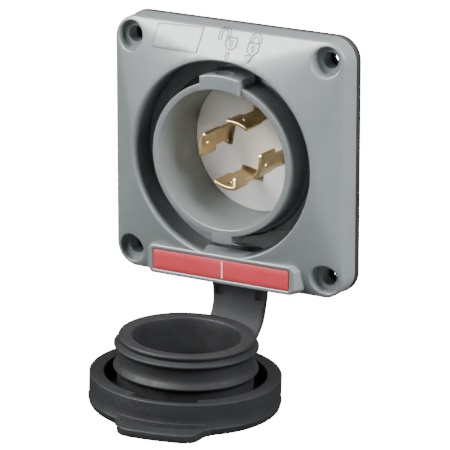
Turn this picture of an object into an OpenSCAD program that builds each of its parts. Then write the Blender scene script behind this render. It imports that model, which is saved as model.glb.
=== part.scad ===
// Watertight flanged power inlet, twist-lock, three pole and earth, with a tethered closure cap.
// Frame: X to the right, Z up, Y into the panel. The origin is the centre of the mounting plane,
// where the back of the gasket meets the panel. The flange faces -Y.

/* [Flange] */
// Width and height of the square flange
flange_w = 110; // [104:0.5:116]
// Radius of the flange's corners
flange_r = 10; // [6:0.5:12]
// Thickness of the flange at its edge
flange_t = 9.6; // [8:0.1:12]
// How far the crowned front rises from the edge to the recess rim
crown_h = 7.6; // [5:0.1:9]
// Thickness of the gasket behind the flange
gasket_t = 3.2; // [2:0.1:4]
// Distance between mounting holes, both ways
hole_pitch = 93; // [90:0.5:96]
// Diameter of the mounting holes
hole_d = 7; // [6:0.1:8]
// Diameter of the counterbores
cbore_d = 12.4; // [10:0.1:14]

/* [Shroud] */
// Radius of the recess round the shroud
recess_r = 42.2; // [41.5:0.1:43]
// Outer radius of the shroud
shroud_r = 33.2; // [32.8:0.1:33.4]
// Bore radius of the shroud
bore_r = 30.3; // [29.5:0.1:30.6]
// Depth from the recess rim to the bottom of the recess
recess_depth = 15.4; // [14:0.1:16]
// Outer radius of the two locking lugs
lug_r = 36.5; // [35.5:0.1:36.8]
// Width of the upper lug
upper_lug_w = 18.7; // [14:0.1:20]
// Width of the lower lug
lower_lug_w = 9.6; // [8:0.1:11]

/* [Contacts] */
// Radius of the circle that the blades stand on
blade_circle_r = 14.4; // [14:0.1:15]
// Turn of the blade pattern, clockwise from straight up
blade_turn = 12; // [0:1:20]
// Thickness of the brass
blade_t = 1.5; // [1.2:0.1:1.8]
// Depth of the insulating face behind the mounting plane
face_y = 12.4; // [11:0.1:14]
// Where the blade tips are, measured from the mounting plane
tip_y = -12.1; // [-14:0.1:-10]
// Travel of a terminal clamp from open to shut
clamp_travel = 2.4; // [2:0.1:2.6]

/* [Cap] */
// Outer radius of the cap
cap_r = 40.2; // [39.5:0.1:40.6]
// Radius inside the cap's skirt
skirt_r = 33.9; // [33.7:0.1:34.2]
// Height of the skirt and disc together
cap_h = 14.3; // [14:0.1:15]
// Depth of the channel between the skirt and the plug
channel_d = 9.6; // [9.2:0.1:9.8]
// Radius of the plug between its lips
plug_r = 28.4; // [28:0.1:28.8]
// Radius of the two sealing lips
lip_r = 29.9; // [29.4:0.1:29.9]
// Radius of the hollow in the plug
hollow_r = 22.5; // [22:0.1:24]
// Height of the plug above the skirt
plug_h = 16.4; // [15:0.1:17]
// Distance of the open cap's axis in front of the mounting plane
cap_reach = 50.8; // [50.8:0.1:52]
// Depth of the open cap's skirt rim below the shroud axis
cap_drop = 83.5; // [82:0.1:84]
// Offset of the open cap's axis to the right of the inlet's axis
cap_offset = 1; // [0:0.1:1.2]
// Roll of the open cap, its right side low
cap_roll = 2.1; // [0:0.1:2.2]
// Turn of the open cap about its own axis
cap_turn = 17; // [0:1:18]
// Width of the pull tab
tab_w = 36; // [30:1:40]

/* [Strap] */
// Width of the strap
strap_w = 25.6; // [22:0.1:27]
// Thickness of the strap
strap_t = 2.8; // [2:0.1:3]

/* [Hidden] */
$fn = 96;
eps = 0.01;

grey = "#8f9a9b";
black = "#2b2b2d";
brass = "#c2a15a";
white_nylon = "#e6e6e3";
steel = "#b9bcbf";

// Depths along Y, counted from the mounting plane
edge_y = -gasket_t - flange_t;
rim_y = edge_y - crown_h;
shroud_y = rim_y + 0.8;
lug_y = rim_y - 1.2;
barrel_end_y = 20;
seal_t = 1.6;
block_y = barrel_end_y + seal_t;
block_flange_t = 3.4;
block_end_y = 50;
half_w = flange_w / 2;
crown_r = recess_r + 0.8;
collar_r = 38.5;
block_r = 27.5;

// Terminals: a radial screw and its clamp over each blade's flat tail
blade_angles = [180 - blade_turn, 90 - blade_turn, -blade_turn, 270 - blade_turn];
tail_r = blade_circle_r + blade_t / 2 + 0.1;
tail_w = 9.6;
tail_y = 45;
screw_y = 37;
chamber_w = 13;
chamber_y = [30.5, 44.5];
clamp_r = 20.4;
clamp_t = 1.8;
clamp_size = [11.8, 9.4];
screw_d = 4;
screw_gap = 0.05;
well_d = 6;
well_shift = 3.3;
well_r = 18.2;

// Mounting of the block on the housing
block_screw_circle = 35.6;
block_screw_angles = [33, 123, 213, 303];

// Label boss
boss_size = [68.4, 12.2];
boss_z = -47.6;
boss_y = rim_y - 0.1;
label_size = [65.4, 8.6];
label_t = 0.7;

// Strap, which hangs from a notch at the back of the flange's bottom edge
strap_y = -gasket_t - strap_t / 2 - 0.2;
strap_top_z = -40;
strap_bend_z = -66;
strap_join_z = -80;
strap_lean = 1.8;
strap_shift = 2.6;
cap_centre = [cap_offset, -cap_reach, -cap_drop];
ear_r = cap_r + 2.6;
ear_z = -12.6;
ear_h = 4;

// Shapes along the inlet's axis are drawn with local Z along world Y, and local X turned to an angle
module along_axis(angle = 0) {
    rotate([-90, 0, 0]) rotate([0, 0, -angle]) children();
}

// Tube or disc on the inlet's axis from one depth to another
module disc(r, from_y, to_y) {
    along_axis() translate([0, 0, from_y]) cylinder(r = r, h = to_y - from_y);
}

// Square with round corners, drawn in the plane of the flange
module round_square(size, r) {
    square([size.x - 2 * r, size.y], center = true);
    square([size.x, size.y - 2 * r], center = true);
    for (sx = [-1, 1], sy = [-1, 1])
        translate([sx * (size.x / 2 - r), sy * (size.y / 2 - r)]) circle(r = r);
}

module round_plate(size, r, from_y, to_y) {
    along_axis() translate([0, 0, from_y]) linear_extrude(height = to_y - from_y) round_square(size, r);
}

// Places children at each mounting hole, with local Z along world Y
module at_mounting_holes() {
    for (sx = [-1, 1], sz = [-1, 1])
        translate([sx * hole_pitch / 2, 0, sz * hole_pitch / 2]) rotate([-90, 0, 0]) children();
}

// The crowned front: a round rim drawn out of the square flange
module crown() {
    hull() {
        along_axis() translate([0, 0, edge_y])
            linear_extrude(height = 0.5) round_square([flange_w, flange_w], flange_r, $fn = 48);
        along_axis() translate([0, 0, rim_y]) cylinder(r = crown_r, h = 0.5, $fn = 96);
    }
}

// The raised seat of the label, with sloping sides
module label_boss() {
    hull() {
        translate([0, boss_y + 0.5, boss_z]) cube([boss_size.x, 1, boss_size.y], center = true);
        translate([0, edge_y + 1, boss_z + 0.6]) cube([boss_size.x + 10, 2, boss_size.y + 1.2], center = true);
    }
}

// A lug on the shroud, at the top for 90 degrees or at the bottom for 270
module lug(angle, w, front_y, back_y) {
    intersection() {
        difference() {
            disc(lug_r, front_y, back_y);
            disc(bore_r, front_y - 1, back_y + 1);
        }
        along_axis(angle) translate([bore_r - 4, -w / 2, front_y - 2])
            cube([lug_r - bore_r + 8, w, back_y - front_y + 4]);
    }
}

module flange_housing() {
    color(grey) difference() {
        union() {
            difference() {
                union() {
                    round_plate([flange_w, flange_w], flange_r, edge_y, -gasket_t);
                    crown();
                    label_boss();
                }
                disc(recess_r, rim_y - 2, rim_y + recess_depth);
            }
            disc(shroud_r, shroud_y, barrel_end_y);
            disc(collar_r, barrel_end_y - 5, barrel_end_y);
            lug(90, upper_lug_w, lug_y, -7.3);
            lug(270, lower_lug_w, shroud_y, -7.3);
        }
        disc(bore_r, rim_y - 3, barrel_end_y + 1);
        at_mounting_holes() translate([0, 0, -30]) cylinder(d = hole_d, h = 40);
        at_mounting_holes() translate([0, 0, -30]) cylinder(d = cbore_d, h = 20);
        // Pilot holes for the screws that hold the terminal block
        for (a = block_screw_angles)
            along_axis(a) translate([block_screw_circle, 0, barrel_end_y - 4.5]) cylinder(d = 2.6, h = 5, $fn = 32);
        // Seat of the label
        translate([0, boss_y, boss_z]) cube([label_size.x + 0.2, 2 * label_t, label_size.y + 0.2], center = true);
        // Notch for the strap, open at the back and at the bottom edge
        translate([-strap_w / 2 - 0.3, strap_y - strap_t / 2 - 0.2, -half_w - 1])
            cube([strap_w + 0.6, strap_t + 1, half_w + 1 + strap_top_z + 0.3]);
        // Scoop in the upper lug
        translate([0, -13.5, lug_r + 3.2]) rotate([0, 90, 0]) cylinder(r = 4, h = 8, center = true);
    }
}

module panel_gasket() {
    color(black) difference() {
        round_plate([flange_w + 0.6, flange_w + 0.6], flange_r, -gasket_t, 0);
        disc(collar_r + 1.5, -gasket_t - 1, 1);
        at_mounting_holes() translate([0, 0, -10]) cylinder(d = hole_d, h = 20);
    }
}

module label_plate() {
    color("#d8434e") translate([0, boss_y + label_t / 2, boss_z])
        cube([label_size.x, label_t, label_size.y], center = true);
}

// One blade: an arc of brass with a neck behind its locking head
module blade_body(angle) {
    along_axis(angle) difference() {
        rotate([0, 0, -20]) translate([0, 0, tip_y]) arc_strip(40, face_y + 2 - tip_y);
        rotate([0, 0, -13]) translate([10, -10, tip_y + 12.2]) cube([8, 10, 40]);
    }
    along_axis(angle) translate([tail_r - blade_t, -tail_w / 2, face_y + 1])
        cube([blade_t, tail_w, tail_y - face_y - 1]);
}

// Strip of brass round the blade circle, starting at the local X axis
module arc_strip(sweep, length) {
    rotate_extrude(angle = sweep) translate([blade_circle_r - blade_t / 2, 0]) square([blade_t, length]);
}

module blade(index) {
    angle = blade_angles[index];
    is_ground = index == 3;
    color(brass) difference() {
        union() {
            blade_body(angle);
            // The ground blade has a hooked edge that turns inwards
            if (is_ground) along_axis(angle) rotate([0, 0, -19]) translate([blade_circle_r - 4.2, -blade_t / 2, tip_y])
                cube([4.2, blade_t, 5.5]);
        }
        along_axis(angle) translate([0, 0, tip_y + 5]) rotate([0, 90, 0]) cylinder(d = 2, h = 20, $fn = 32);
        along_axis(angle) translate([0, 0, screw_y]) rotate([0, 90, 0]) cylinder(d = screw_d + 2 * screw_gap, h = 20);
    }
}

module blade_left() { blade(0); }
module blade_top() { blade(1); }
module blade_right() { blade(2); }
module blade_ground() { blade(3); }

// White insulating face with a slot for each blade
module face_insert() {
    color(white_nylon) difference() {
        disc(bore_r - 0.1, face_y, barrel_end_y - 2);
        for (a = blade_angles) along_axis(a) translate([blade_circle_r - 2.4, -5.6, face_y - 1]) cube([4.4, 11.2, 10]);
    }
}

module face_seal() {
    color(black) difference() {
        disc(collar_r, barrel_end_y, block_y);
        disc(bore_r + 0.5, barrel_end_y - 1, block_y + 1);
        for (a = block_screw_angles)
            along_axis(a) translate([block_screw_circle, 0, barrel_end_y - 1]) cylinder(d = 3.4, h = 5, $fn = 32);
    }
}

// One terminal: its chamber, the slot for the tail, the screw's well and the wire's well
module terminal_cut(angle) {
    along_axis(angle) {
        translate([tail_r + 0.02, -chamber_w / 2, chamber_y[0]])
            cube([block_r, chamber_w, chamber_y[1] - chamber_y[0]]);
        translate([tail_r - blade_t - 0.02, -tail_w / 2 - 0.1, 10]) cube([blade_t + 0.04, tail_w + 0.2, tail_y - 9.9]);
        translate([0, 0, screw_y]) rotate([0, 90, 0]) translate([0, 0, 8.2]) cylinder(d = screw_d + 0.8, h = 10);
        translate([well_r, well_shift, chamber_y[1] - 1]) cylinder(d = well_d, h = 10);
    }
}

module terminal_block() {
    color(white_nylon) difference() {
        union() {
            disc(bore_r - 0.3, barrel_end_y - 2, block_y);
            disc(collar_r, block_y, block_y + block_flange_t);
            disc(block_r, block_y + block_flange_t, block_end_y);
        }
        for (a = blade_angles) terminal_cut(a);
        for (a = block_screw_angles)
            along_axis(a) translate([block_screw_circle, 0, block_y - 1]) cylinder(d = 3.4, h = 6, $fn = 32);
    }
}

// Pan-head screws, from the head's underside at z = 0 into the block's flange
module assembly_screws() {
    color(steel) for (a = block_screw_angles) along_axis(a) translate([block_screw_circle, 0, block_y + block_flange_t])
        difference() {
            union() {
                cylinder(d = 5.4, h = 2, $fn = 48);
                translate([0, 0, -8.8]) cylinder(d = 2.6, h = 9, $fn = 32);
            }
            translate([-2.2, -0.4, 1]) cube([4.4, 0.8, 2]);
        }
}

// Square pressure plate that presses the conductor onto the blade's tail
module clamp(index) {
    color(steel) along_axis(blade_angles[index]) translate([clamp_r, 0, screw_y]) difference() {
        translate([0, -clamp_size.x / 2, -clamp_size.y / 2]) cube([clamp_t, clamp_size.x, clamp_size.y]);
        translate([-1, 0, 0]) rotate([0, 90, 0]) cylinder(d = screw_d + 2 * screw_gap, h = clamp_t + 2);
    }
}

module clamp_left() { clamp(0); }
module clamp_top() { clamp(1); }
module clamp_right() { clamp(2); }
module clamp_ground() { clamp(3); }

// Terminal screw with a slotted pan head, captive on its pressure plate
module terminal_screw(index) {
    head_r = clamp_r + clamp_t + screw_gap;
    along_axis(blade_angles[index]) translate([0, 0, screw_y]) rotate([0, 90, 0]) difference() {
        union() {
            translate([0, 0, 12]) cylinder(d = screw_d, h = head_r - 12 + eps);
            translate([0, 0, head_r]) cylinder(d = 7.4, h = 2.4);
        }
        translate([-3, -0.5, head_r + 1.2]) cube([6, 1, 2]);
    }
}

module screw_left() { color(brass) terminal_screw(0); }
module screw_top() { color(brass) terminal_screw(1); }
module screw_right() { color(brass) terminal_screw(2); }
module screw_ground() { color("#3f8f4e") terminal_screw(3); }

// Strap: a clamped end behind the flange, a free upper length and a lower length that meets the cap
module strap_anchor() {
    color(black) translate([-strap_w / 2, strap_y - strap_t / 2, -half_w + eps])
        cube([strap_w, strap_t, half_w + strap_top_z - eps]);
}

module strap_upper() {
    color(black) {
        translate([-strap_w / 2, strap_y - strap_t / 2, strap_bend_z]) cube([strap_w, strap_t, -half_w - strap_bend_z]);
        hull() {
            translate([-strap_w / 2, strap_y - strap_t / 2, strap_bend_z]) cube([strap_w, strap_t, 0.4]);
            strap_end_bar(strap_join_z);
        }
    }
}

// Bar across the strap where its upper and lower lengths meet
module strap_end_bar(z) {
    translate([-strap_w / 2 - strap_shift, strap_y - strap_t / 2 - strap_lean, z]) cube([strap_w, strap_t, 0.4]);
}

module cap_frame() {
    translate(cap_centre) rotate([0, cap_roll, 0]) rotate([0, 0, cap_turn]) children();
}

module strap_lower() {
    color(black) {
        hull() {
            strap_end_bar(strap_join_z - 0.4);
            cap_frame() translate([-10.7, ear_r + 0.45, ear_z + 5.8]) cube([21.4, 1.5, 1]);
        }
        cap_frame() translate([-11, ear_r + 0.3, ear_z]) cube([22, 1.8, 7]);
    }
}

// Half section of the cap from its axis outwards, with the skirt's rim at height 0
cap_profile = [
    [0, -cap_h], [cap_r - 1.2, -cap_h], [cap_r, -cap_h + 1.2], [cap_r, -0.7], [cap_r - 0.7, 0],
    [skirt_r + 0.6, 0], [skirt_r, -0.6], [skirt_r, -channel_d], [plug_r, -channel_d],
    [plug_r, 0.9], [lip_r, 1.9], [lip_r, 3.1], [plug_r, 4.5],
    [plug_r, 10], [lip_r, 10.8], [lip_r, 12], [plug_r - 0.9, 13.6], [plug_r - 0.9, plug_h - 1],
    [plug_r - 1.9, plug_h], [hollow_r + 1.5, plug_h], [hollow_r, plug_h - 1.5], [hollow_r - 0.8, 3.4 - cap_h],
    [0, 3.4 - cap_h],
];

module closure_cap() {
    color(black) cap_frame() difference() {
        union() {
            rotate_extrude() polygon(cap_profile);
            // Pull tab in front
            translate([0, 0, -cap_h]) linear_extrude(height = 4) difference() {
                union() {
                    translate([-tab_w / 2, -44]) square([tab_w, 20]);
                    translate([-tab_w / 2 + 4, -48]) square([tab_w - 8, 20]);
                    for (sx = [-1, 1]) translate([sx * (tab_w / 2 - 4), -44]) circle(r = 4);
                }
                circle(r = cap_r - 5);
            }
            // Ear at the back, where the strap joins
            translate([-11, cap_r - 3, ear_z]) cube([22, ear_r - cap_r + 3, ear_h]);
        }
        // Ways past the two lugs on the shroud
        skirt_notch(270, 24);
        skirt_notch(90, 11);
    }
}

// Clears a lug: a sector cut out of the inside of the skirt
module skirt_notch(angle, half_angle) {
    rotate([0, 0, angle - half_angle]) translate([0, 0, -channel_d - 0.2])
        rotate_extrude(angle = 2 * half_angle) translate([skirt_r - 1, 0]) square([4.4, channel_d + 1.2]);
}

flange_housing();
panel_gasket();
label_plate();
face_insert();
face_seal();
terminal_block();
assembly_screws();
blade_left();
blade_top();
blade_right();
blade_ground();
clamp_left();
clamp_top();
clamp_right();
clamp_ground();
screw_left();
screw_top();
screw_right();
screw_ground();
strap_anchor();
strap_upper();
strap_lower();
closure_cap();
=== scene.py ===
import math

import bmesh
import bpy
import numpy as np
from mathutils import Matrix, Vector
from mathutils.geometry import delaunay_2d_cdt


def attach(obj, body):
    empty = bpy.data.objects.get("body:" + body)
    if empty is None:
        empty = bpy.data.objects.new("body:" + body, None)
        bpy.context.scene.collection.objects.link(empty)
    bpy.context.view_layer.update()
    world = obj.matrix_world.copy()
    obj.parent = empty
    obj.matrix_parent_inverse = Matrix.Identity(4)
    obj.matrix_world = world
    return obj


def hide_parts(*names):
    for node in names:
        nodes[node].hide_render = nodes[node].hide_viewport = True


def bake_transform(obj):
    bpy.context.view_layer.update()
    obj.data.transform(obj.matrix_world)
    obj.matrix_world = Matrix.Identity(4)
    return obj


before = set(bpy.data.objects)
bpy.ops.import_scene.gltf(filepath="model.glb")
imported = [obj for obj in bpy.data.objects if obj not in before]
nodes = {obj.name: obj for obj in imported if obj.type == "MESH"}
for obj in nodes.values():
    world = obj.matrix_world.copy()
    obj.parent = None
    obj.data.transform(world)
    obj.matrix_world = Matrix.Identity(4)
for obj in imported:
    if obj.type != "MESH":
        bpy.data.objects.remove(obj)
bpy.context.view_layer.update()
MM = 0.001

# Sizes in millimetres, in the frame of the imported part: X right, Y into the panel, Z up.
EDGE_Y, RIM_Y, LAYER_Y, BACK_Y = -12.8, -20.4, -6.4, -3.2
HALF, CORNER = 55.0, 10.0
NOTCH_HALF, NOTCH_TOP = 13.1, -39.7
RECESS_R, RECESS_Y, FOOT_R = 42.2, -5.0, 42.7
SHROUD_R, BORE_R, SHROUD_Y = 33.2, 30.3, -19.6
COLLAR_R, LUG_R, LUG_FOOT_Y = 38.5, 36.5, -7.3
HOLE_AT, HOLE_R, CBORE_R, CBORE_Y = 46.5, 3.5, 6.2, -10.0
FACE_Y, BARREL_Y = 12.4, 20.0
BLADE_R, BLADE_T, TIP_Y, TAIL_Y = 14.4, 1.5, -12.1, 45
BLADE_ANGLES = {"left": 168, "top": 78, "right": -12, "ground": 258}
BOSS_Z, BOSS_Y, BED_Y = -47.6, -20.5, -19.8
MARK_LIFT = 0.42

# The open cap: the centre of its skirt's rim, its turn about its own axis, and its roll
CAP_AT, CAP_TURN, CAP_ROLL = (1.0, -50.8, -83.5), 17.0, 2.1
CAP_R, CAP_FLOOR, SKIRT_R, SKIRT_NOTCH_R, STEP_R = 40.1, -14.3, 33.9, 37.3, 40.6


# ---------------------------------------------------------------- materials

def shader(name):
    mat = bpy.data.materials.new(name)
    mat.use_nodes = True
    tree = mat.node_tree
    return mat, tree, tree.nodes["Principled BSDF"]


def add(tree, kind, **values):
    node = tree.nodes.new(kind)
    for key, value in values.items():
        if hasattr(node, key) and key not in node.inputs:
            setattr(node, key, value)
        else:
            node.inputs[key].default_value = value
    return node


def noise(tree, coords, scale, detail=3.0, rough=0.55):
    node = add(tree, "ShaderNodeTexNoise", Scale=scale, Detail=detail, Roughness=rough)
    tree.links.new(coords, node.inputs["Vector"])
    return node.outputs["Fac"]


def ranged(tree, value, low, high, to_low, to_high):
    node = tree.nodes.new("ShaderNodeMapRange")
    for i, v in enumerate((low, high, to_low, to_high)):
        node.inputs[i + 1].default_value = v
    tree.links.new(value, node.inputs[0])
    return node.outputs[0]


def blended(tree, factor, a, b):
    node = tree.nodes.new("ShaderNodeMix")
    node.data_type = "RGBA"
    tree.links.new(factor, node.inputs["Factor"])
    for socket, value in ((node.inputs["A"], a), (node.inputs["B"], b)):
        if isinstance(value, tuple):
            socket.default_value = (*value, 1)
        else:
            tree.links.new(value, socket)
    return node.outputs["Result"]


def painted_groove_shade(tree, coords, base, color):
    """Painted shade: the base colour darkened with depth in the ring between the shroud and the flange."""
    parts = tree.nodes.new("ShaderNodeSeparateXYZ")
    tree.links.new(coords, parts.inputs[0])
    flat = tree.nodes.new("ShaderNodeCombineXYZ")
    tree.links.new(parts.outputs["X"], flat.inputs["X"])
    tree.links.new(parts.outputs["Z"], flat.inputs["Z"])
    length = add(tree, "ShaderNodeVectorMath", operation="LENGTH")
    tree.links.new(flat.outputs[0], length.inputs[0])
    shade_amount = ranged(tree, parts.outputs["Y"], -20.0 * MM, -16.0 * MM, 0.0, 1.0)
    # Radii between which the painted shade grows: at the shroud's wall, across the ring, and at the flange's
    # rim
    for low, high, weak, strong in ((32.6, 33.1, 0.0, 1.0), (33.4, 35.2, 0.5, 1.0), (43.4, 43.0, 0.0, 0.62)):
        product = add(tree, "ShaderNodeMath", operation="MULTIPLY")
        tree.links.new(shade_amount, product.inputs[0])
        by_radius = ranged(tree, length.outputs["Value"], low * MM, high * MM, weak, strong)
        tree.links.new(by_radius, product.inputs[1])
        shade_amount = product.outputs[0]
    return blended(tree, shade_amount, base, tuple(c * 0.06 for c in color))


def moulded(name, color, rough, grain=1400.0, bump=0.03, mottle=0.08, spread=0.06, edge=0.0,
            specular=0.5, metallic=0.0, round_edges=0.0, brushed=False, shade_groove=False):
    """Plastic, rubber or metal: mottled colour, uneven gloss, a fine grain and lighter worn edges."""
    mat, tree, bsdf = shader(name)
    coords = add(tree, "ShaderNodeTexCoord").outputs["Object"]
    if brushed:
        stretch = add(tree, "ShaderNodeMapping")
        stretch.inputs["Scale"].default_value = (1, 9, 1)
        tree.links.new(coords, stretch.inputs["Vector"])
        grained = stretch.outputs["Vector"]
    else:
        grained = coords
    cloudy = noise(tree, coords, 60.0, 4.0)
    dark = tuple(c * (1 - mottle) for c in color)
    light = tuple(min(c * (1 + mottle), 1) for c in color)
    base = blended(tree, ranged(tree, cloudy, 0.35, 0.65, 0, 1), dark, light)
    if edge:
        worn = add(tree, "ShaderNodeNewGeometry").outputs["Pointiness"]
        pale = tuple(min(c * 2.2 + 0.05, 1) for c in color)
        base = blended(tree, ranged(tree, worn, 0.52, 0.60, 0, edge), base, pale)
    # Painted shade in the groove between the shroud and the flange
    if shade_groove:
        base = painted_groove_shade(tree, coords, base, color)
    tree.links.new(base, bsdf.inputs["Base Color"])
    patchy = noise(tree, grained, 260.0, 3.0)
    uneven = ranged(tree, patchy, 0.3, 0.7, max(rough - spread, 0.05), rough + spread)
    tree.links.new(uneven, bsdf.inputs["Roughness"])
    fine = noise(tree, grained, grain, 2.0, 0.7)
    bumped = add(tree, "ShaderNodeBump", Strength=bump, Distance=0.0004)
    tree.links.new(fine, bumped.inputs["Height"])
    if round_edges:
        soft = add(tree, "ShaderNodeBevel", samples=6, Radius=round_edges * MM)
        tree.links.new(soft.outputs["Normal"], bumped.inputs["Normal"])
    tree.links.new(bumped.outputs["Normal"], bsdf.inputs["Normal"])
    bsdf.inputs["Metallic"].default_value = metallic
    bsdf.inputs["Specular IOR Level"].default_value = specular
    return mat


HOUSING = dict(color=(0.200, 0.223, 0.226), rough=0.36, grain=2600, bump=0.05, mottle=0.03, spread=0.05)
GREY = moulded("housing_plastic", **HOUSING)
# The same plastic with painted shade deep in the groove, where it lies in shadow
GREY_SHADED_GROOVE = moulded("housing_plastic_groove_shade", **HOUSING, shade_groove=True)
# Painted shade: a darker grey for the raised outlines, standing in for the shadow along their sides
GREY_SHADED_LINE = moulded("moulded_line_shade", (0.085, 0.096, 0.10), 0.4, bump=0.03, mottle=0.03)
RUBBER = moulded("cap_rubber", (0.018, 0.0185, 0.020), 0.58, grain=1500, bump=0.35, mottle=0.14, spread=0.08,
                 edge=0.10, specular=0.16)
STRAP = moulded("strap_rubber", (0.080, 0.082, 0.087), 0.56, grain=1500, bump=0.25, mottle=0.12, spread=0.08,
                specular=0.25)
GASKET = moulded("gasket_rubber", (0.018, 0.018, 0.020), 0.6, grain=1800, bump=0.4, mottle=0.2, specular=0.4)
RED = moulded("label_red_ink", (0.70, 0.055, 0.075), 0.34, grain=900, bump=0.04, mottle=0.04)
WHITE_INK = moulded("label_white_ink", (0.88, 0.86, 0.86), 0.4, bump=0.02, mottle=0.02)
NYLON = moulded("white_nylon", (0.88, 0.88, 0.865), 0.42, grain=1600, bump=0.06, mottle=0.025,
                round_edges=0.5)
BRASS = moulded("blade_brass", (0.50, 0.375, 0.175), 0.34, grain=500, bump=0.10, mottle=0.10, spread=0.07,
                metallic=1.0, brushed=True)
BRASS_SCREW = moulded("screw_brass", (0.60, 0.42, 0.17), 0.3, grain=700, bump=0.1, mottle=0.1, metallic=1.0,
                      round_edges=0.3)
ZINC = moulded("zinc_plate", (0.56, 0.57, 0.585), 0.33, grain=600, bump=0.1, mottle=0.08, metallic=1.0,
               round_edges=0.25)
GREEN = moulded("earth_screw_green", (0.045, 0.20, 0.07), 0.34, grain=800, bump=0.08, mottle=0.08,
                round_edges=0.3)


# ---------------------------------------------------------------- mesh tools

def finish_mesh(name, points, faces, mat, crease=32.0):
    """A mesh object from points in millimetres, welded, facing outwards, smooth but for its creases."""
    mesh = bpy.data.meshes.new(name)
    bm = bmesh.new()
    verts = [bm.verts.new(Vector(p) * MM) for p in points]
    for f in faces:
        if len(set(f)) > 2:
            try:
                bm.faces.new([verts[i] for i in dict.fromkeys(f)])
            except ValueError:
                pass
    bmesh.ops.remove_doubles(bm, verts=bm.verts, dist=2e-6)
    bmesh.ops.dissolve_degenerate(bm, edges=bm.edges, dist=1e-6)
    bmesh.ops.recalc_face_normals(bm, faces=bm.faces)
    if bm.calc_volume(signed=True) < 0:
        bmesh.ops.reverse_faces(bm, faces=bm.faces)
    bm.to_mesh(mesh)
    bm.free()
    for p in mesh.polygons:
        p.use_smooth = True
    mesh.set_sharp_from_angle(angle=math.radians(crease))
    mesh.materials.append(mat)
    obj = bpy.data.objects.new(name, mesh)
    bpy.context.collection.objects.link(obj)
    return obj


def place(obj, body, slot, *replaced):
    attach(obj, body)
    if replaced:
        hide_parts(*replaced)
    return obj


def arc(center, radius, start, stop, steps):
    """Points of an arc, angles in degrees."""
    return [(center[0] + radius * math.cos(math.radians(start + (stop - start) * i / steps)),
             center[1] + radius * math.sin(math.radians(start + (stop - start) * i / steps)))
            for i in range(steps + 1)]


def filleted(corners, steps=5):
    """A closed outline from corners (u, v, radius), each corner rounded with its radius."""
    out = []
    for i, (u, v, r) in enumerate(corners):
        here = Vector((u, v))
        if not r:
            out.append((u, v))
            continue
        before = Vector(corners[i - 1][:2]) - here
        after = Vector(corners[(i + 1) % len(corners)][:2]) - here
        half = before.angle(after) / 2
        reach = min(r / math.tan(half), 0.49 * before.length, 0.49 * after.length)
        r = reach * math.tan(half)
        a = here + before.normalized() * reach
        b = here + after.normalized() * reach
        c = here + (before.normalized() + after.normalized()).normalized() * (r / math.sin(half))
        va, vb = a - c, b - c
        turn = math.atan2(va.x * vb.y - va.y * vb.x, va.dot(vb))
        for k in range(steps + 1):
            cos, sin = math.cos(turn * k / steps), math.sin(turn * k / steps)
            out.append((c.x + va.x * cos - va.y * sin, c.y + va.x * sin + va.y * cos))
    return out


def resampled(loop, spacing):
    """The closed loop with no stretch longer than spacing."""
    out = []
    for i, p in enumerate(loop):
        q = loop[(i + 1) % len(loop)]
        n = max(1, math.ceil(math.dist(p, q) / spacing))
        out += [(p[0] + (q[0] - p[0]) * k / n, p[1] + (q[1] - p[1]) * k / n) for k in range(n)]
    return out


def turned(loop, clockwise):
    """The closed loop, reversed if it doesn't run the way asked for."""
    area = sum(p[0] * q[1] - q[0] * p[1] for p, q in zip(loop, loop[1:] + loop[:1]))
    return loop[::-1] if (area < 0) != clockwise else loop


def shifted(loop, distance):
    """The loop moved to its left by a distance, into the material."""
    if not distance:
        return list(loop)
    out = []
    for i, p in enumerate(loop):
        a = (Vector(p) - Vector(loop[i - 1])).normalized()
        b = (Vector(loop[(i + 1) % len(loop)]) - Vector(p)).normalized()
        n = (Vector((-a.y, a.x)) + Vector((-b.y, b.x))).normalized()
        miter = min(1 / max(n.dot(Vector((-a.y, a.x))), 0.5), 1.5)
        out.append((p[0] + n.x * distance * miter, p[1] + n.y * distance * miter))
    return out


def inside(points, loops):
    """Even-odd test of many points against closed loops."""
    hit = np.zeros(len(points), bool)
    x, y = points[:, 0], points[:, 1]
    for loop in loops:
        a = np.array(loop)
        b = np.roll(a, -1, axis=0)
        for (x0, y0), (x1, y1) in zip(a, b):
            if y0 == y1:
                continue
            hit ^= ((y0 > y) != (y1 > y)) & (x < (x1 - x0) * (y - y0) / (y1 - y0) + x0)
    return hit


def shaken_point(point, i):
    """The point moved by at most 1.5 microns each way, so that no three points of a rim are in line."""
    return (point[0] + 0.0015 * math.sin(7.3 * i + 1.1), point[1] + 0.0015 * math.sin(5.1 * i + 2.3))


def cap_faces(loops, grid):
    """Points and triangles that fill an outline with holes, with inner points a grid apart."""
    shaken, count = [], 0
    for loop in loops:
        shaken.append([shaken_point(p, count + i) for i, p in enumerate(loop)])
        count += len(loop)
    rim = np.array([p for loop in shaken for p in loop])
    edges, start = [], 0
    for loop in loops:
        edges += [(start + i, start + (i + 1) % len(loop)) for i in range(len(loop))]
        start += len(loop)
    low, high = rim.min(axis=0), rim.max(axis=0)
    us = np.arange(low[0] + grid / 2, high[0], grid)
    vs = np.arange(low[1] + grid / 2, high[1], grid * 0.866)
    inner = np.array([(u + (grid / 2 if k % 2 else 0), v) for k, v in enumerate(vs) for u in us])
    if len(inner):
        inner = inner[inside(inner, shaken)]
    if len(inner):
        near = np.array([np.min(np.hypot(rim[:, 0] - u, rim[:, 1] - v)) for u, v in inner])
        inner = inner[near > 0.45 * grid]
    inner = [tuple(map(float, p)) for p in inner]
    exact = [p for loop in loops for p in loop] + inner
    seeds = [Vector(p) for p in [tuple(p) for p in rim] + inner]
    verts, _, faces, origins, *_ = delaunay_2d_cdt(seeds, edges, [], 0, 1e-6)
    if not faces:
        return exact, []
    middles = np.array([np.mean([verts[i] for i in f], axis=0)[:2] for f in faces])
    keep = inside(middles, shaken)
    points = [exact[o[0]] if o else tuple(v) for v, o in zip(verts, origins)]
    return points, [f for f, k in zip(faces, keep) if k]


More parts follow.
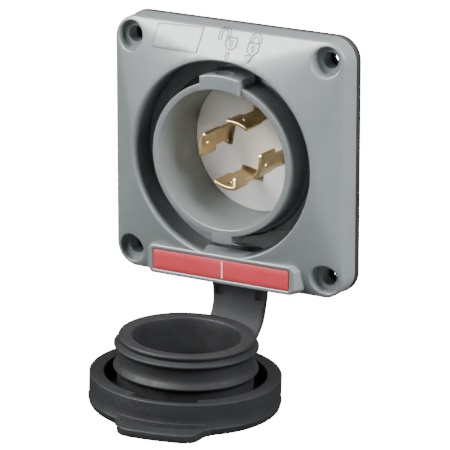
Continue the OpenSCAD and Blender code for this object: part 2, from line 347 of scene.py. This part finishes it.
def plate(name, outline, holes, to_world, mat, top=0.5, bottom=0.0, grid=3.0, steps=4, crease=32.0):
    """A closed plate with rounded rims. to_world(u, v, level, delta) gives the point in millimetres:
    level 0 is the bottom, 1 the top, and delta the distance from it into the material. The radius at the
    top is one number, or a list of one for the outline and one for each hole."""
    loops = [turned(list(outline), False)] + [turned(list(h), True) for h in holes]
    tops = top if isinstance(top, list) else [top] * len(loops)
    points, faces = [], []

    def ring(loop, level, delta):
        first = len(points)
        points.extend(to_world(u, v, level, delta) for u, v in loop)
        return first

    ends = {0: [], 1: []}
    for loop, loop_top in zip(loops, tops):
        n = len(loop)
        rings = []
        for level, radius in ((0, bottom), (1, loop_top)):
            turns = range(steps + 1) if radius else [0]
            made = []
            for k in turns:
                phi = math.pi / 2 * k / steps
                moved = shifted(loop, radius * (1 - math.cos(phi)))
                made.append((ring(moved, level, radius * (1 - math.sin(phi))), moved))
            ends[level].append(made[-1][1])
            rings.append([m[0] for m in made])
        order = rings[0][::-1] + rings[1]
        for a, b in zip(order, order[1:]):
            faces += [(a + i, a + (i + 1) % n, b + (i + 1) % n, b + i) for i in range(n)]
    for level in (0, 1):
        flat, tris = cap_faces(ends[level], grid)
        first = len(points)
        points.extend(to_world(u, v, level, 0.0) for u, v in flat)
        faces += [tuple(first + i for i in t) for t in tris]
    return finish_mesh(name, points, faces, mat, crease)


def lathe(name, profile, to_world, mat, angles, closed=True, crease=32.0):
    """A body of revolution. profile(angle in degrees) or a list gives (r, h); to_world(r, angle, h)."""
    points, faces, sizes = [], [], 0
    for a in angles:
        rows = profile(a) if callable(profile) else profile
        sizes = len(rows)
        points += [to_world(r, a, h) for r, h in rows]
    n = len(angles)
    for i in range(n):
        j = (i + 1) % n
        for k in range(sizes if closed else sizes - 1):
            m = (k + 1) % sizes
            faces.append((i * sizes + k, i * sizes + m, j * sizes + m, j * sizes + k))
    return finish_mesh(name, points, faces, mat, crease)


def on_axis(r, angle, y):
    """Cylinder coordinates round the inlet's axis."""
    a = math.radians(angle)
    return (r * math.cos(a), y, r * math.sin(a))


def between(low_y, high_y):
    """A flat plate with its back at low_y and its front at high_y, which is nearer the viewer."""
    return lambda u, v, level, delta: (u, high_y + delta if level else low_y - delta, v)


def rounded_square(half, radius):
    return filleted([(half, -half, radius), (half, half, radius), (-half, half, radius),
                     (-half, -half, radius)], 14)


def rounded_box(half_u, half_v, radius, steps=4):
    return filleted([(-half_u, -half_v, radius), (half_u, -half_v, radius), (half_u, half_v, radius),
                     (-half_u, half_v, radius)], steps)


def circle(center, radius, count):
    turns = [2 * math.pi * i / count for i in range(count)]
    return [(center[0] + radius * math.cos(a), center[1] + radius * math.sin(a)) for a in turns]


# ---------------------------------------------------------------- housing

DIRS = np.radians(np.arange(0, 360, 0.5))
SUPPORT = (HALF - CORNER) * (np.abs(np.cos(DIRS)) + np.abs(np.sin(DIRS))) + CORNER
RIM_R = RECESS_R + 0.8


def crown(x, z):
    """Height of the front above the flange's edge: the round rim drawn out of the square."""
    reach = (SUPPORT - (x * np.cos(DIRS) + z * np.sin(DIRS))) / (SUPPORT - RIM_R)
    return (EDGE_Y - RIM_Y) * float(np.clip(np.min(reach), 0.0, 1.0))


def front(u, v, level, delta):
    return (u, EDGE_Y - crown(u, v) + delta, v) if level else (u, CBORE_Y - delta, v)


def housing(obj, *replaced):
    return place(obj, "inlet", "housing_grey", *replaced)


corners = [(sx * HOLE_AT, sz * HOLE_AT) for sx in (-1, 1) for sz in (-1, 1)]
square = resampled(rounded_square(HALF, CORNER), 2.5)
recess = circle((0, 0), RECESS_R, 216)
counterbores = [circle(c, CBORE_R, 48) for c in corners]
bolt_holes = [circle(c, HOLE_R, 32) for c in corners]
housing(plate("flange_front", square, [recess] + counterbores, front, GREY_SHADED_GROOVE, top=[0.9, 0.9] + [0.6] * 4,
              grid=2.2, steps=5, crease=40), "flange_housing")
housing(plate("flange_middle", square, [recess] + bolt_holes, between(LAYER_Y, CBORE_Y), GREY_SHADED_GROOVE,
              top=0.0, grid=8))

# The back layer has the strap's notch in its bottom edge.
notched = [(NOTCH_HALF, -HALF, 0.5), (HALF, -HALF, CORNER), (HALF, HALF, CORNER), (-HALF, HALF, CORNER),
           (-HALF, -HALF, CORNER), (-NOTCH_HALF, -HALF, 0.5), (-NOTCH_HALF, NOTCH_TOP, 1.0),
           (NOTCH_HALF, NOTCH_TOP, 1.0)]
housing(plate("flange_back", resampled(filleted(notched, 14), 2.5), [circle((0, 0), 36.0, 96)] + bolt_holes,
              between(BACK_Y, LAYER_Y), GREY, top=0.0, bottom=0.4, grid=8))

# The shroud's barrel: its foot in the flange, the groove's floor, the front rim, the bore, the rear collar
barrel = [(FOOT_R, -8.0), (FOOT_R, -7.0)] + arc((40.15, -7.15), 2.15, 8, 90, 8)
barrel += arc((34.9, -6.7), 1.7, 90, 180, 7)
barrel += [(SHROUD_R, -12.0)] + arc((SHROUD_R - 0.45, SHROUD_Y + 0.45), 0.45, 0, -90, 4)
barrel += arc((BORE_R + 0.4, SHROUD_Y + 0.4), 0.4, -90, -180, 4)
barrel += [(BORE_R, -8.0), (BORE_R, 4.0), (BORE_R, BARREL_Y - 0.4), (BORE_R + 0.4, BARREL_Y)]
barrel += arc((COLLAR_R - 0.8, BARREL_Y - 0.8), 0.8, 90, 0, 4) + arc((COLLAR_R - 0.8, 15.8), 0.8, 0, -90, 4)
barrel += arc((SHROUD_R + 1.0, 14.0), 1.0, 90, 180, 4) + [(SHROUD_R, BACK_Y - 0.1), (FOOT_R, BACK_Y - 0.1)]
housing(lathe("shroud_barrel", barrel, on_axis, GREY_SHADED_GROOVE, [1.5 * i for i in range(240)]))


def scooped(obj):
    """The object with a shallow hollow cut out of its top."""
    bpy.ops.mesh.primitive_uv_sphere_add(segments=64, ring_count=32, radius=1.0)
    ball = bpy.context.object
    ball.scale = (5.2 * MM, 4.4 * MM, 3.4 * MM)
    ball.location = (-0.4 * MM, -16.1 * MM, (LUG_R + 1.9) * MM)
    bpy.context.view_layer.update()
    cut = obj.modifiers.new("scoop", "BOOLEAN")
    cut.operation = "DIFFERENCE"
    cut.solver = "EXACT"
    cut.object = ball
    bpy.context.view_layer.objects.active = obj
    bpy.ops.object.modifier_apply(modifier="scoop")
    bpy.data.objects.remove(ball)
    for p in obj.data.polygons:
        p.use_smooth = True
    obj.data.set_sharp_from_angle(angle=math.radians(32))
    return obj


def lug(name, width, front_y, inner_r, up):
    """A locking lug: an arc of the shroud's wall with flat sides, rounded on every edge. up is 1 or -1."""
    half = width / 2
    outer = [(x, math.sqrt(LUG_R ** 2 - x * x)) for x in np.linspace(half, -half, 25)]
    inner = [(x, math.sqrt(inner_r ** 2 - x * x)) for x in np.linspace(-half, half, 25)]
    outline = resampled([tuple(map(float, p)) for p in outer + inner], 0.8)

    def shape(u, v, level, delta):
        return (u * up, front_y + delta if level else LUG_FOOT_Y - delta, v * up)

    return plate(name, outline, [], shape, GREY, top=0.35, grid=1.2, steps=4)


housing(scooped(lug("upper_lug", 18.7, -21.6, BORE_R, 1)))
housing(lug("lower_lug", 9.6, SHROUD_Y - 0.02, 32.0, -1))


def flange_face(u, v):
    return EDGE_Y - crown(u, v)


def ridge(name, path, width, height, closed=False, mat=GREY, depth=flange_face):
    """A low moulded line along a path in the plane of the flange, standing on the surface depth(u, v)."""
    n = len(path)
    points, faces = [], []
    section = [(-0.5, -0.6), (-0.46, 0.6), (-0.3, 0.93), (0.0, 1.0), (0.3, 0.93), (0.46, 0.6), (0.5, -0.6)]
    for i, p in enumerate(path):
        a = Vector(path[i - 1] if (i or closed) else p)
        b = Vector(path[(i + 1) % n] if (i < n - 1 or closed) else p)
        d = (b - a).normalized()
        side = Vector((-d.y, d.x))
        for s, h in section:
            u, v = p[0] + side.x * s * width, p[1] + side.y * s * width
            points.append((u, depth(u, v) - h * height, v))
    m = len(section)
    for i in range(n if closed else n - 1):
        j = (i + 1) % n
        faces += [(i * m + k, i * m + (k + 1) % m, j * m + (k + 1) % m, j * m + k) for k in range(m)]
    if not closed:
        faces += [tuple(range(m)), tuple(range((n - 1) * m, n * m))]
    return housing(finish_mesh(name, points, faces, mat, 50))


def raised(name, outline, grid=2.0):
    """A low pad on the flange's front."""
    def shape(u, v, level, delta):
        return (u, flange_face(u, v) - (MARK_LIFT - delta if level else -0.6), v)

    return housing(plate(name, resampled(outline, 1.5), [], shape, GREY, top=0.12, grid=grid, steps=3))


# A blank panel in the top left corner
panel = [(-34.6, 43.9, 0.5), (-12.0, 44.5, 0.5), (-11.5, 54.0, 0.5), (-32.9, 53.4, 0.5)]
raised("blank_panel", filleted(panel, 4))
# The outlines take the darker grey of painted shade
marked = dict(closed=True, mat=GREY_SHADED_LINE)


def padlock(name, at, bow_at, opened):
    """The outline of a lock's body, of its bow, and a keyhole."""
    x, z = at
    body_line = filleted([(x - 2.6, z + 2.2, 0.5), (x - 2.6, z - 1.0, 1.9), (x, z - 2.7, 2.0),
                          (x + 2.6, z - 1.0, 1.9), (x + 2.6, z + 2.2, 0.5)], 5)
    ridge(name + "_body", resampled(body_line, 0.5), 0.42, 0.34, **marked)
    bx, bz = bow_at
    left, right = (bz - 2.4, z + 1.2) if opened else (z + 2.6, z + 2.6)
    bow = [(bx + 2.6, right)] + arc((bx, bz), 2.6, 0, 180, 16) + [(bx - 2.6, left), (bx - 1.3, left)]
    bow += arc((bx, bz), 1.3, 180, 0, 12) + [(bx + 1.3, right)]
    ridge(name + "_bow", resampled(bow, 0.5), 0.36, 0.32, **marked)
    ridge(name + "_keyhole", arc((x, z + 0.3), 0.75, -60, 240, 10), 0.38, 0.3, mat=GREY_SHADED_LINE)
    ridge(name + "_keyway", [(x, z - 0.4), (x, z - 0.9), (x, z - 1.5)], 0.45, 0.3, mat=GREY_SHADED_LINE)


# Generic open and shut padlocks, each with its mark
padlock("padlock_open", (2.9, 49.6), (-1.0, 53.0), True)
padlock("padlock_shut", (13.6, 48.6), (14.0, 52.0), False)
mark_open = [(2.0, 46.1), (3.3, 46.1), (3.3, 43.6), (2.0, 43.6)]
mark_shut = [(11.0, 46.0), (14.4, 46.0), (12.7, 43.1)]
panel_edge = [(-34.7, 43.8), (-11.9, 44.4), (-11.4, 54.1), (-33.0, 53.5)]
ridge("mark_open", resampled(mark_open, 0.5), 0.34, 0.3, **marked)
ridge("mark_shut_edge", resampled(mark_shut, 0.5), 0.34, 0.3, **marked)
ridge("blank_panel_edge", resampled(panel_edge, 1.0), 0.3, 0.3, **marked)
raised("mark_shut", filleted([(11.1, 45.9, 0.2), (14.3, 45.9, 0.2), (12.7, 43.2, 0.2)], 3), grid=0.7)

# Raised seat of the label: a sloping foot, a rim, and a shallow bed for the plate.
BOSS = [(-35.4, -4.3), (-33.6, -6.3), (33.2, -6.3), (35.6, -4.0), (35.6, 4.0), (33.4, 6.3), (-33.6, 6.3),
        (-35.4, 4.6)]


def boss_shape(u, v, level, delta):
    if level:
        return (u, BOSS_Y + delta, BOSS_Z + v)
    return (u * 1.075, EDGE_Y + 1.6 - delta, BOSS_Z + v * 1.1)


def on_boss(low_y, high_y):
    """A flat plate on the seat, with its back at low_y and its front at high_y."""
    flat = between(low_y, high_y)
    return lambda u, v, level, delta: flat(u, BOSS_Z + v, level, delta)


boss_rim = resampled(filleted([(u, v, 1.3) for u, v in BOSS], 5), 2.0)
bed_rim = resampled(rounded_box(32.8, 4.4, 0.9), 2.0)
housing(plate("label_boss", boss_rim, [bed_rim], boss_shape, GREY, top=0.7, grid=1.6, steps=5))
housing(plate("label_bed", resampled(rounded_box(34, 5.2, 0), 4), [], on_boss(-14, BED_Y + 0.05), GREY,
              top=0.0, grid=6))
place(plate("label_plate_red", resampled(rounded_box(32.6, 4.2, 0.8), 2), [], on_boss(BED_Y, BOSS_Y + 0.06),
            RED, top=0.15, grid=4, steps=2), "inlet", "label_red", "label_plate")
place(plate("label_divider", [(0.5, -3.7), (1.15, -3.7), (1.15, 3.6), (0.5, 3.6)], [],
            on_boss(BOSS_Y + 0.2, BOSS_Y + 0.03), WHITE_INK, top=0.0, grid=4), "inlet", "label_red")

# Two fine lines across the shroud's rim, and a rib in the groove
for name, angle in (("rim_line_left", 192.3), ("rim_line_right", -13.6)):
    a = math.radians(angle)
    line = [(r * math.cos(a), r * math.sin(a)) for r in np.linspace(30.7, 32.9, 5)]
    ridge(name, line, 0.5, 0.12, depth=lambda u, v: SHROUD_Y)
rib = [(15.3 + 9.4 * k / 6, -32.1 + 2.2 * k / 6) for k in range(7)]
ridge("groove_rib", rib, 0.7, 1.6, depth=lambda u, v: RECESS_Y)

# ---------------------------------------------------------------- gasket

gasket_holes = [circle((0, 0), 40.0, 96)] + [circle(c, HOLE_R - 0.7, 32) for c in corners]
place(plate("gasket_sheet", resampled(rounded_square(HALF + 0.3, CORNER), 2.5), gasket_holes,
            between(0.0, BACK_Y), GASKET, top=0.7, bottom=0.5, grid=8, steps=3),
      "inlet", "rubber_black", "panel_gasket")

# ---------------------------------------------------------------- blades

def brass(obj, *replaced):
    return place(obj, "inlet", "brass_blade", *replaced)


def blade_head(key, angle):
    """A rounded head with a dimple and a narrower neck, wrapped round the blade circle."""
    per_mm = 180 / (math.pi * BLADE_R)
    # Corners: degrees round the circle, y, radius
    edge = [(-21.5, TIP_Y, 1.1), (21.5, TIP_Y, 1.1), (21.5, 0.6, 0.5), (18.2, 2.2, 0.9), (18.2, 14.0, 0),
            (-17, 14.0, 0), (-17, 9.6, 0.4), (-12.5, 9.6, 0.5), (-12.5, 0.2, 0.7), (-21.5, 0.2, 0.6)]
    outline = resampled(filleted([(a / per_mm, y, r) for a, y, r in edge], 5), 0.8)
    dimple = circle((0.0, TIP_Y + 5.0), 1.0, 24)

    def wrap(u, v, level, delta):
        r = BLADE_R + (BLADE_T / 2 - delta if level else -BLADE_T / 2 + delta)
        return on_axis(r, angle - u * per_mm, v)

    brass(plate("blade_" + key + "_head", outline, [dimple], wrap, BRASS, top=0.28, bottom=0.28, grid=0.9,
                steps=3), "blade_" + key)


def ground_hook(angle):
    """The ground blade's hook: a small tab bent inwards at the side of its head."""
    hook = [(-4.3, TIP_Y + 1.6, 0.8), (-0.2, TIP_Y + 0.6, 0.3), (-0.2, TIP_Y + 5.6, 0.3),
            (-4.3, TIP_Y + 5.0, 0.8)]
    a = math.radians(angle + 19)
    along, across = (math.cos(a), math.sin(a)), (-math.sin(a), math.cos(a))

    def bend(u, v, level, delta):
        side = (0.7 - delta) if level else (-0.7 + delta)
        r = BLADE_R + u
        return (r * along[0] + side * across[0], v, r * along[1] + side * across[1])

    brass(plate("blade_ground_hook", resampled(filleted(hook, 4), 0.8), [], bend, BRASS, top=0.25,
                bottom=0.25, grid=0.9, steps=3))


def blade_tail(key, angle):
    """The flat tail under the terminal screw."""
    a = math.radians(angle)
    radial, tangent = (math.cos(a), math.sin(a)), (math.sin(a), -math.cos(a))
    tail = filleted([(-4.8, 12.6, 0), (4.8, 12.6, 0), (4.8, TAIL_Y, 0.8), (-4.8, TAIL_Y, 0.8)], 4)

    def flat(u, v, level, delta):
        r = BLADE_R + 0.1 + (BLADE_T / 2 - delta if level else -BLADE_T / 2 + delta)
        return (r * radial[0] + u * tangent[0], v, r * radial[1] + u * tangent[1])

    screw_hole = circle((0, TAIL_Y - 8), 2.05, 28)
    brass(plate("blade_" + key + "_tail", resampled(tail, 1.5), [screw_hole], flat, BRASS, top=0.2, bottom=0.2,
                grid=2, steps=2))


for key, angle in BLADE_ANGLES.items():
    blade_head(key, angle)
    if key == "ground":
        ground_hook(angle)
    blade_tail(key, angle)

# ---------------------------------------------------------------- closure cap

def cap_world(x, y, z):
    """From the cap's own axes, with its skirt rim at z = 0, to the frame."""
    a, b = math.radians(CAP_TURN), math.radians(CAP_ROLL)
    x, y = x * math.cos(a) - y * math.sin(a), x * math.sin(a) + y * math.cos(a)
    return (CAP_AT[0] + x * math.cos(b) + z * math.sin(b), CAP_AT[1] + y,
            CAP_AT[2] - x * math.sin(b) + z * math.cos(b))


def cap_ring(r, angle, z):
    a = math.radians(angle)
    return cap_world(r * math.cos(a), r * math.sin(a), z)


# The two notches in the skirt, for the shroud's lugs: middle and half width, in degrees
NOTCHES = ((268.7, 22.4), (90, 11))


def skirt_inner(angle):
    """Radius inside the skirt, wider where it passes the two lugs."""
    for middle, half in NOTCHES:
        if abs((angle - middle + 180) % 360 - 180) < half:
            return SKIRT_NOTCH_R
    return SKIRT_R


def cap_profile(angle):
    """The cap's section from the middle of its closed end, over the skirt, the plug and its two lips, to the
    middle of its hollow."""
    inner = skirt_inner(angle % 360)
    rows = [(r, CAP_FLOOR) for r in (0.001, 12, 24, 34)] + arc((37.7, CAP_FLOOR + 2.4), 2.4, -90, -12, 6)
    rows += [(CAP_R + 0.25, -11.2), (CAP_R + 0.3, -10.8), (CAP_R, -10.4), (CAP_R, -6.0)]
    rows += arc((39.6, -0.55), 0.55, 0, 90, 4) + [(38.6, 0.0)]
    rows += arc((inner + 0.5, -0.5), 0.5, 90, 180, 4) + [(inner, -5.0), (inner, -9.0), (inner - 0.5, -9.6)]
    rows += [(31.0, -9.6), (29.2, -9.6), (28.5, -8.9), (28.4, -4.0), (28.4, 0.0)]
    rows += [(28.6, 1.0), (29.3, 1.7)] + arc((29.45, 2.6), 0.8, -65, 70, 6) + [(28.9, 4.4), (28.5, 5.2)]
    rows += [(28.35, 7.0), (28.35, 10.2), (28.6, 10.9), (29.1, 11.4)] + arc((29.45, 12.2), 0.8, -75, 65, 6)
    rows += [(29.1, 13.2), (28.4, 13.65), (27.9, 13.9), (27.95, 14.25)]
    rows += arc((27.45, 15.35), 1.1, -45, 90, 8) + [(25.3, 16.5), (24.2, 16.3)]
    rows += arc((23.6, 15.1), 1.0, 80, 170, 5) + [(22.45, 12.0), (22.2, 4.0), (21.9, -6.0)]
    rows += arc((19.6, -8.6), 2.3, 0, -90, 6) + [(10, -10.9), (0.001, -10.9)]
    return rows


cap_angles = {1.5 * i for i in range(240)}
for notch_at, half in NOTCHES:
    cap_angles |= {notch_at + side * (half + past) for side in (-1, 1) for past in (-0.01, 0.35)}
cap_skin = lathe("cap_moulding", cap_profile, cap_ring, RUBBER, sorted(cap_angles), closed=False, crease=38)
place(cap_skin, "cap", "rubber_black", "closure_cap")


def slab(low, high):
    """A flat plate across the cap's axis, from low to high along it."""
    return lambda u, v, level, delta: cap_world(u, v, high - delta if level else low + delta)


TAB_TURN = math.radians(-2.0)


def tab_slab(low, high):
    """The same, turned a little about the cap's axis."""
    flat = slab(low, high)
    return lambda u, v, level, delta: flat(u * math.cos(TAB_TURN) - v * math.sin(TAB_TURN),
                                           u * math.sin(TAB_TURN) + v * math.cos(TAB_TURN), level, delta)


def rim_arc(radius, angles):
    return [(radius * math.cos(math.radians(a)), radius * math.sin(math.radians(a))) for a in angles]


def rubber(obj):
    return place(obj, "cap", "rubber_black")


# Pull tab with hollow corners where it leaves the disc, the low step above it, and the strap's ear
half_tab = [(0, -47.8), (9.5, -47.3), (13.0, -46.6), (15.2, -45.4), (16.8, -43.5), (17.6, -41.2),
            (18.2, -38.4), (19.0, -36.4), (20.5, -34.9), (20.5, -33.0)]
tab = [(-u, v) for u, v in half_tab[:0:-1]] + half_tab
rubber(plate("cap_tab", resampled(tab, 1.0), [], tab_slab(-13.9, -10.2), RUBBER, top=0.7, bottom=0.7, grid=3,
             steps=3))
step = rim_arc(STEP_R, range(243, 298, 2)) + rim_arc(STEP_R - 2.4, range(297, 242, -4))
rubber(plate("cap_step", step, [], tab_slab(-12.5, -8.2), RUBBER, top=0.3, grid=3, steps=3))
ear = filleted([(-14.5, 34, 0), (14.5, 34, 0), (14.5, 37.4, 1.5), (11.2, 42.9, 1.5), (-11.2, 42.9, 1.5),
                (-14.5, 37.4, 1.5)], 5)
rubber(plate("cap_ear", resampled(ear, 1.2), [], slab(-12.8, -8.4), RUBBER, top=0.9, bottom=0.9, grid=3,
             steps=3))

# ---------------------------------------------------------------- strap

STRAP_THICK, STRAP_EDGE, STRAP_ROOT_Z = 2.7, 0.55, -55.5
POCKET_X, POCKET_Z, POCKET_HALF_X, POCKET_HALF_Z, POCKET_DEPTH = 9.6, -59.9, 1.7, 3.9, 1.3

# Centre line from inside the notch to the cap's ear: x, y, z, half width, turn about Z
ROUTE = [(0.0, -4.9, -41.0, 12.8, 0), (0.0, -4.9, -48.0, 12.8, 0), (0.3, -4.9, -55.0, 13.0, 0),
         (1.0, -4.9, -60.0, 13.0, 0), (0.8, -4.9, -66.0, 12.4, 1), (-0.2, -5.3, -72.5, 12.3, 3),
         (-2.0, -6.9, -79.0, 12.3, 6), (-5.0, -8.6, -85.2, 12.2, 10), (-8.4, -8.8, -89.6, 12.0, 14),
         (-10.4, -9.1, -92.6, 11.6, 16), (-11.3, -9.4, -96.0, 11.2, 17)]


def spline(rows, count):
    """Points evenly spread along a smooth curve through the rows."""
    rows = np.array(rows, float)
    dense = []
    for i in range(len(rows) - 1):
        p0, p1, p2, p3 = rows[max(i - 1, 0)], rows[i], rows[i + 1], rows[min(i + 2, len(rows) - 1)]
        for t in np.linspace(0, 1, 24, endpoint=False):
            dense.append(0.5 * (2 * p1 + (p2 - p0) * t + (2 * p0 - 5 * p1 + 4 * p2 - p3) * t ** 2
                                + (3 * p1 - p0 - 3 * p2 + p3) * t ** 3))
    dense.append(rows[-1])
    dense = np.array(dense)
    length = np.concatenate([[0], np.cumsum(np.linalg.norm(np.diff(dense[:, :3], axis=0), axis=1))])
    return np.array([[np.interp(s, length, dense[:, k]) for k in range(dense.shape[1])]
                     for s in np.linspace(0, length[-1], count)])


stations = spline(ROUTE, 150)


def strap_corner(u, h, angles):
    return [(u + STRAP_EDGE * math.cos(t), h + STRAP_EDGE * math.sin(t)) for t in np.radians(angles)]


def strap_section(i):
    """A cross-section of the strap: a flat band with rounded edges and a pocket near each side at the top."""
    x, y, z, half, turn = stations[i]
    p, q = stations[max(i - 1, 0)][:3], stations[min(i + 1, len(stations) - 1)][:3]
    side = Vector((math.cos(math.radians(turn)), math.sin(math.radians(turn)), 0))
    out = Vector(q - p).normalized().cross(side).normalized()
    if out.y > 0:
        out = -out
    thick = STRAP_THICK / 2
    u_end, h_end = half - STRAP_EDGE, thick - STRAP_EDGE
    outline = [(u, thick) for u in np.linspace(-u_end, u_end, 61)]
    outline += strap_corner(u_end, h_end, [60, 30, 0]) + strap_corner(u_end, -h_end, [0, -30, -60])
    outline += [(u, -thick) for u in np.linspace(u_end, -u_end, 21)]
    outline += strap_corner(-u_end, -h_end, [240, 210, 180]) + strap_corner(-u_end, h_end, [180, 150, 120])
    rows = []
    for u, h in outline:
        if h == thick:
            across, down = (abs(u) - POCKET_X) / POCKET_HALF_X, (z - POCKET_Z) / POCKET_HALF_Z
            pocket = max(0.0, 1 - max(abs(across), abs(down)) ** 6)
            h -= POCKET_DEPTH * min(1.0, pocket * 2.0)
        rows.append(Vector((x, y, z)) + side * u + out * h)
    return rows


sections = [strap_section(i) for i in range(len(stations))]


def strap_piece(name, first, last):
    """The strap between two stations, closed at both ends."""
    rows = sections[first:last + 1]
    m = len(rows[0])
    points = [p for row in rows for p in row]
    faces = [(i * m + k, i * m + (k + 1) % m, (i + 1) * m + (k + 1) % m, (i + 1) * m + k)
             for i in range(len(rows) - 1) for k in range(m)]
    faces += [tuple(range(m)), tuple(range((len(rows) - 1) * m, len(rows) * m))]
    obj = finish_mesh(name, points, faces, STRAP, 35)
    return obj


def station_at(z):
    return int(np.argmin(np.abs(stations[:, 2] - z)))


def height(i):
    """The height of a station, as a point on the Z axis in metres."""
    return (0, 0, float(stations[i][2]) * MM)


cut_a, cut_b, end = station_at(-74.0), station_at(-80.0), len(stations) - 1
upper = strap_piece("strap_upper_length", 0, cut_a)
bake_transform(upper)
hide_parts("strap_upper", "strap_anchor")
middle = strap_piece("strap_middle_length", cut_a, cut_b)
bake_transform(middle)
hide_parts("strap_lower")
lower = strap_piece("strap_lower_length", cut_b, end)
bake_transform(lower)

# ---------------------------------------------------------------- carried-over nodes

carried = {"face_insert": NYLON, "face_seal": GASKET, "terminal_block": NYLON, "assembly_screws": ZINC}
for key in BLADE_ANGLES:
    carried["clamp_" + key] = ZINC
    carried["screw_" + key] = GREEN if key == "ground" else BRASS_SCREW
for name, mat in carried.items():
    nodes[name].data.materials.clear()
    nodes[name].data.materials.append(mat)

# ---------------------------------------------------------------- light and camera

world = bpy.data.worlds.new("studio")
bpy.context.scene.world = world
world.use_nodes = True
tree = world.node_tree
tree.nodes.clear()
ray = tree.nodes.new("ShaderNodeLightPath")
seen = add(tree, "ShaderNodeBackground", Color=(1, 1, 1, 1), Strength=18.0)
fill = add(tree, "ShaderNodeBackground", Color=(0.96, 0.98, 1.0, 1), Strength=0.14)
mix = tree.nodes.new("ShaderNodeMixShader")
out = tree.nodes.new("ShaderNodeOutputWorld")
tree.links.new(ray.outputs["Is Camera Ray"], mix.inputs["Fac"])
tree.links.new(fill.outputs[0], mix.inputs[1])
tree.links.new(seen.outputs[0], mix.inputs[2])
tree.links.new(mix.outputs[0], out.inputs["Surface"])


def softbox(name, direction, size, power):
    """A square light a metre from the object, facing it."""
    light = bpy.data.lights.new(name, "AREA")
    light.shape = "SQUARE"
    light.size = size
    light.energy = power
    obj = bpy.data.objects.new(name, light)
    middle = Vector((0, 0, -0.03))
    obj.location = Vector(direction).normalized() + middle
    obj.rotation_euler = (middle - obj.location).to_track_quat("-Z", "Y").to_euler()
    bpy.context.collection.objects.link(obj)
    return obj


softbox("key_upper_left", (-0.48, -0.62, 0.62), 0.60, 12.5)
gloss = softbox("gloss_upper_left", (-0.46, -0.62, 0.64), 0.75, 60.0)
gloss.visible_diffuse = False
softbox("fill_left", (-0.85, -0.52, 0.05), 0.50, 2.3)
softbox("fill_right_low", (0.78, -0.58, -0.30), 0.40, 1.6)
softbox("overhead", (0.0, 0.05, 1.0), 0.50, 4.5)
softbox("rim_right", (0.8, -0.1, 0.6), 0.45, 21.0)

# A narrow beam into the shroud, for the white face
beam = bpy.data.lights.new("beam_front", "SPOT")
beam.energy = 10.5
beam.spot_size = math.radians(2.5)
beam.spot_blend = 0.35
beam.shadow_soft_size = 0.01
beam_obj = bpy.data.objects.new("beam_front", beam)
beam_obj.location = (0.02, -1.0, 0.03)
beam_aim = Vector((-0.008, FACE_Y * MM, -0.005)) - beam_obj.location
beam_obj.rotation_euler = beam_aim.to_track_quat("-Z", "Y").to_euler()
bpy.context.collection.objects.link(beam_obj)

camera = bpy.data.cameras.new("camera")
camera.lens = 314.2
camera.sensor_width = 36.0
camera_obj = bpy.data.objects.new("camera", camera)
camera_obj.location = (0.7833, -1.3846, 0.4431)
aim = Vector((-0.00195, -0.0128, -0.0303)) - camera_obj.location
camera_obj.rotation_euler = aim.to_track_quat("-Z", "Y").to_euler()
bpy.context.collection.objects.link(camera_obj)
bpy.context.scene.camera = camera_obj
